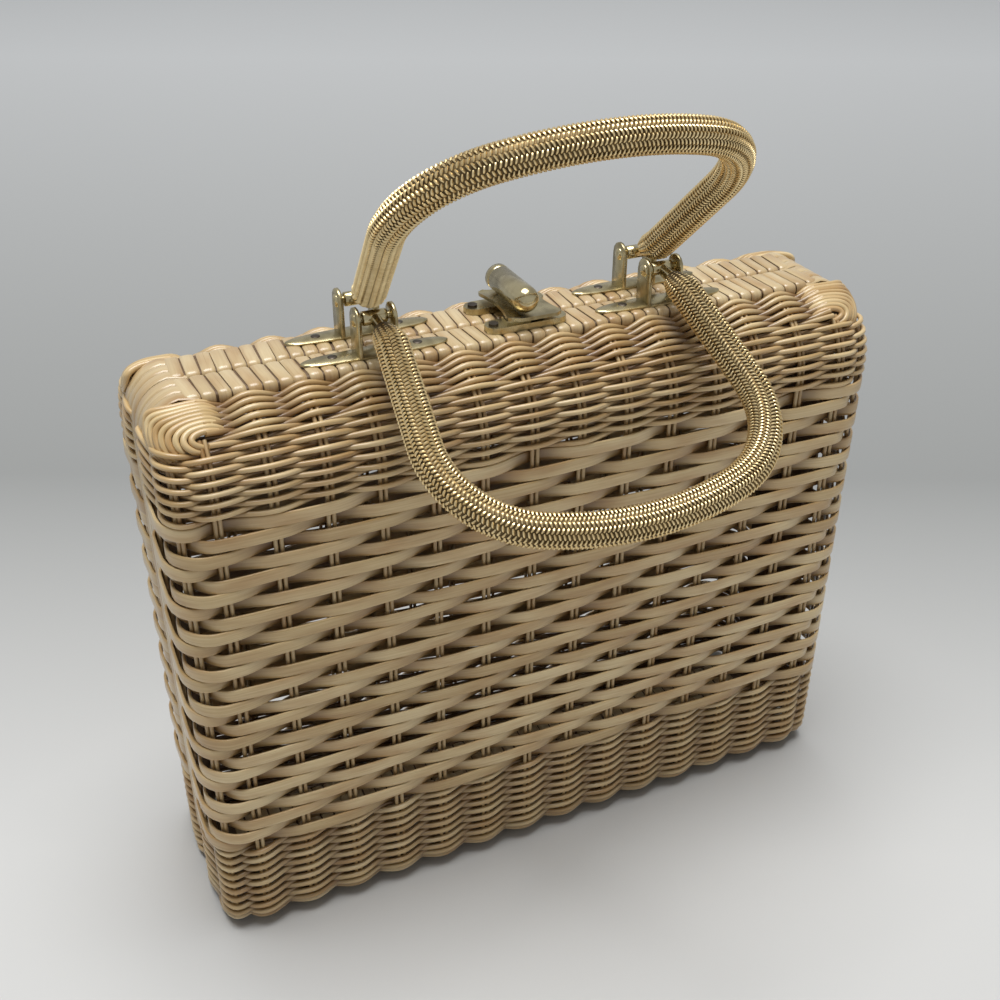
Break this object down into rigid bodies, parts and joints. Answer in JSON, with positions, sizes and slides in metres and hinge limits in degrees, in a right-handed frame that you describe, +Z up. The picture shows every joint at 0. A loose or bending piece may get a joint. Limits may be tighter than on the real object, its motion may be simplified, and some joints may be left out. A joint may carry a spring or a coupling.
{
  "type": "basket box bag",
  "caption": "Woven reed box bag that opens on bottom hinges, with cane wrapped rims, mesh covered swing handles on brass brackets and a turn clasp.",
  "frame": {"origin": "on the floor under the seam between the two halves, midway across the width", "axes": "+X across the width to the right as seen from the front, +Y from the front half to the back half, +Z up"},
  "size_m": [0.3, 0.1595, 0.331],
  "materials": {
    "reed": "lacquered woven reed",
    "cane": "glossy flat cane wrapping",
    "brass": "aged polished brass",
    "gold_mesh": "knitted gold wire over a soft core"
  },
  "bodies": {
    "back_half": {"back_shell": "reed", "back_rim": "cane", "back_bracket_left": "brass", "back_bracket_right": "brass", "back_pin_left": "brass", "back_pin_right": "brass", "back_bracket_screws": "brass", "back_clasp_plate": "brass", "back_clasp_screw": "brass", "back_hinge_leaf_left": "brass", "back_hinge_leaf_right": "brass", "hinge_pin_left": "brass", "hinge_pin_right": "brass", "back_hinge_screws": "brass"},
    "front_half": {"front_shell": "reed", "front_rim": "cane", "front_bracket_left": "brass", "front_bracket_right": "brass", "front_pin_left": "brass", "front_pin_right": "brass", "front_bracket_screws": "brass", "front_clasp_plate": "brass", "front_clasp_screw": "brass", "clasp_saddle": "brass", "front_hinge_leaf_left": "brass", "front_hinge_leaf_right": "brass", "front_hinge_screws": "brass"},
    "front_handle": {"front_handle_sleeve": "gold_mesh", "front_ferrule_left": "brass", "front_ferrule_right": "brass"},
    "back_handle": {"back_handle_sleeve": "gold_mesh", "back_ferrule_left": "brass", "back_ferrule_right": "brass"},
    "clasp_knob": {"clasp_barrel": "brass", "clasp_cam": "brass"}
  },
  "joints": [
    {"name": "front_half_opening", "type": "hinge", "parent": "back_half", "child": "front_half", "pos_m": [0, 0, 0.0026], "axis": [1, 0, 0], "range_deg": [0, 110]},
    {"name": "front_handle_swing", "type": "hinge", "parent": "front_half", "child": "front_handle", "pos_m": [0, -0.01, 0.253], "axis": [-1, 0, 0], "range_deg": [0, 35]},
    {"name": "back_handle_swing", "type": "hinge", "parent": "back_half", "child": "back_handle", "pos_m": [0, 0.01, 0.253], "axis": [-1, 0, 0], "range_deg": [0, 160]},
    {"name": "clasp_turn", "type": "hinge", "parent": "front_half", "child": "clasp_knob", "pos_m": [0, -0.001, 0.2446], "axis": [0, 0, 1], "range_deg": [0, 90]}
  ]
}
